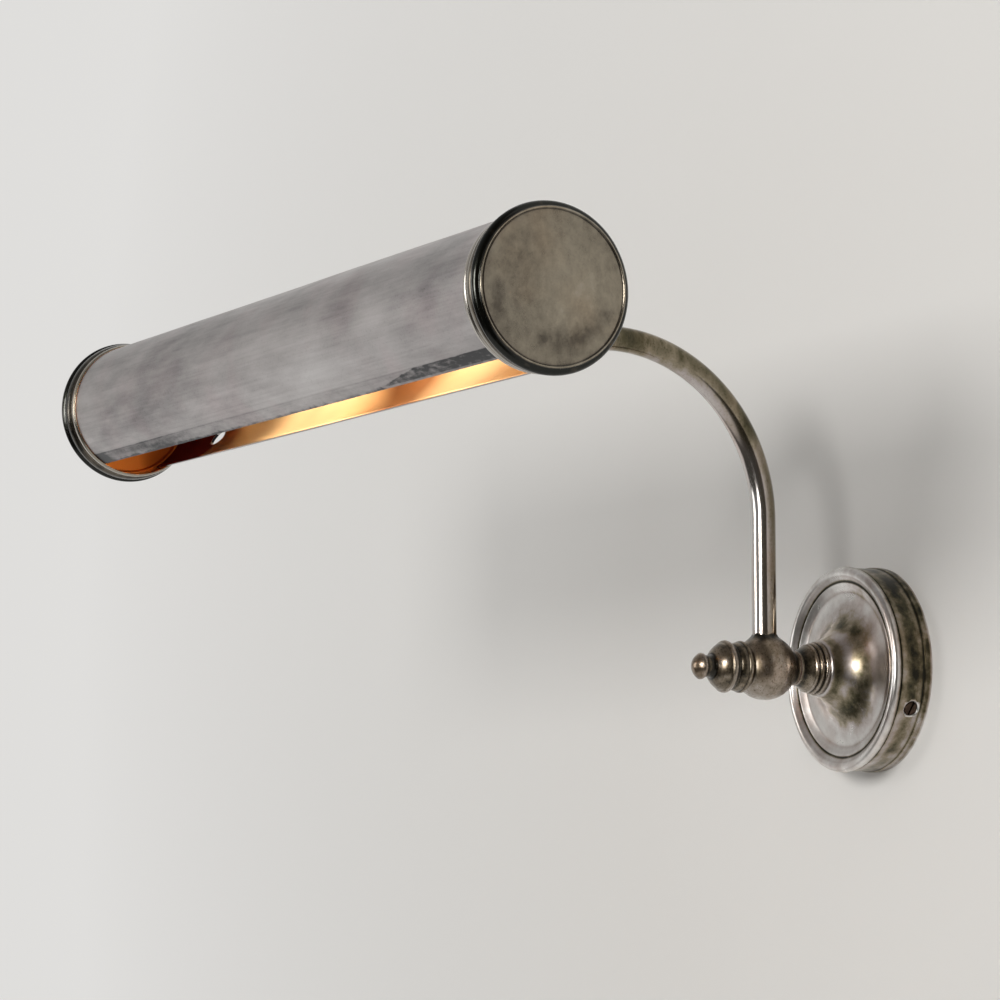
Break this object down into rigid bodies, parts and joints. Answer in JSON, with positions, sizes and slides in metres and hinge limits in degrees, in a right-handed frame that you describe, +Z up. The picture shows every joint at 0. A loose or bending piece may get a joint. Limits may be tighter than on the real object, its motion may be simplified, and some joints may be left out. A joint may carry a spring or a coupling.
{
  "type": "wall light",
  "caption": "Picture wall light: round backplate, ball swivel with finial nut, curved arm and slotted tube shade with lamps inside.",
  "frame": {"origin": "Centre of the wall bracket's two screw slots, on the wall plane, which is also the backplate's centre.", "axes": "+Z up, -Y out from the wall into the room, +X along the shade, to the right for someone who faces the wall."},
  "size_m": [0.4, 0.2842, 0.1875],
  "materials": {
    "aged_nickel": "nickel plate on brass, brushed and aged to a mottled grey",
    "zinc_steel": "zinc plated sheet",
    "screw_steel": "plated, slotted head",
    "turned_brass": "turned, unpolished",
    "fibre": "vulcanised fibre",
    "terminal_plastic": "moulded",
    "holder_plastic": "moulded phenolic",
    "cap_metal": "pressed",
    "frosted_glass": "frosted inside",
    "filament_wire": "drawn",
    "lead_sleeve": "sleeved flex"
  },
  "bodies": {
    "wall_mount": {"wall_bracket": "zinc_steel", "bracket_lugs": "zinc_steel", "canopy": "aged_nickel", "canopy_side_screws": "screw_steel", "terminal_block": "terminal_plastic", "terminal_inserts": "turned_brass", "terminal_screws": "screw_steel", "terminal_fixing_screw": "screw_steel", "earth_screw": "screw_steel", "earth_washer": "zinc_steel", "spigot": "turned_brass", "stem_washer": "zinc_steel", "stem_nut": "turned_brass", "collar": "aged_nickel", "rear_fibre_washer": "fibre", "stem_lead": "lead_sleeve"},
    "arm": {"swivel_ball": "aged_nickel", "arm_tube": "aged_nickel", "arm_lead": "lead_sleeve", "tilt_swivel_arm_half": "aged_nickel"},
    "clamp": {"front_fibre_washer": "fibre", "clamp_ring": "aged_nickel"},
    "finial": {"finial_nut": "aged_nickel"},
    "shade": {"tilt_swivel_shade_half": "aged_nickel", "tilt_fibre_disc": "fibre", "tilt_spring_washer": "zinc_steel", "tilt_screw": "screw_steel", "shade_saddle": "aged_nickel", "shade_nipple": "turned_brass", "shade_tube": "aged_nickel", "lamp_bar": "zinc_steel", "inner_washer": "zinc_steel", "inner_nut": "turned_brass", "end_cap_left": "aged_nickel", "end_cap_right": "aged_nickel", "lampholder_base_left": "holder_plastic", "lampholder_base_right": "holder_plastic", "lampholder_body_left": "holder_plastic", "lampholder_body_right": "holder_plastic", "bulb_cap_left": "cap_metal", "bulb_cap_right": "cap_metal", "bulb_glass_left": "frosted_glass", "bulb_glass_right": "frosted_glass", "bulb_filament_left": "filament_wire", "bulb_filament_right": "filament_wire", "shade_lead_left": "lead_sleeve", "shade_lead_right": "lead_sleeve", "lampholder_nuts": "turned_brass", "lampholder_nipples": "turned_brass", "lampholder_inserts": "holder_plastic", "lampholder_shells": "turned_brass", "lampholder_contacts": "turned_brass"}
  },
  "joints": [
    {"name": "arm_swivel", "type": "hinge", "parent": "wall_mount", "child": "arm", "pos_m": [0, -0.0534, 0], "axis": [0, 1, 0], "range_deg": [-90, 90]},
    {"name": "clamp_travel", "type": "slide", "parent": "wall_mount", "child": "clamp", "axis": [0, -1, 0], "range_m": [0, 0.001]},
    {"name": "finial_turn", "type": "hinge", "parent": "clamp", "child": "finial", "pos_m": [0, -0.0745, 0], "axis": [0, -1, 0], "range_deg": [0, 360]},
    {"name": "shade_tilt", "type": "hinge", "parent": "arm", "child": "shade", "pos_m": [0, -0.20852, 0.12094], "axis": [1, 0, 0], "range_deg": [-60, 60]}
  ],
  "couplings": [
    {"joint": "finial_turn", "follows": "clamp_travel", "rad_per_m": 6283.2}
  ]
}
